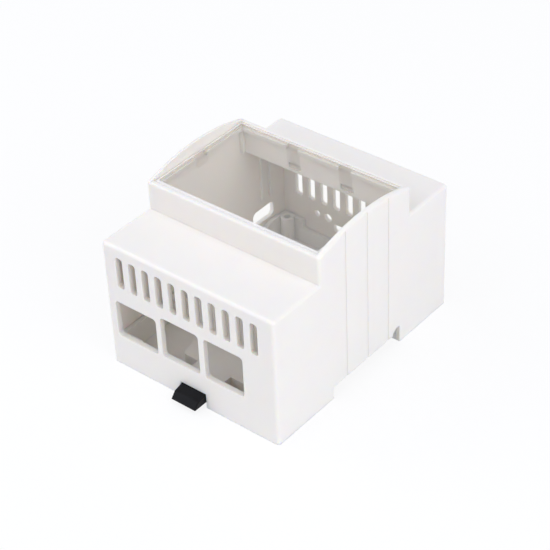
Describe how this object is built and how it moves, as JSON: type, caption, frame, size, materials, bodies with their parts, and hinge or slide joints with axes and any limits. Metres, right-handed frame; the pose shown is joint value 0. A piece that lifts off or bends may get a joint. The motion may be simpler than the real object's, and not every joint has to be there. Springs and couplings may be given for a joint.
{
  "type": "din rail enclosure",
  "caption": "DIN rail enclosure for a single-board computer: vented cover with connector openings, clear window lid, snap-in tray and sprung rail latch.",
  "frame": {"origin": "centre of the rail channel's mouth, in the plane of the feet", "axes": "+X along the rail, +Y from the port face to the rear face, +Z away from the rail, towards the window"},
  "size_m": [0.07, 0.0952, 0.0628],
  "materials": {
    "housing_plastic": "fine satin texture",
    "window_plastic": "polished clear",
    "latch_plastic": "fine satin texture"
  },
  "bodies": {
    "housing": {"cover": "housing_plastic", "base": "housing_plastic", "window": "window_plastic"},
    "latch": {"rail_latch": "latch_plastic"}
  },
  "joints": [
    {"name": "latch_slide", "type": "slide", "parent": "housing", "child": "latch", "axis": [0, -1, 0], "range_m": [0, 0.004], "stiffness_N_per_m": 1500, "springref_m": -0.001}
  ]
}
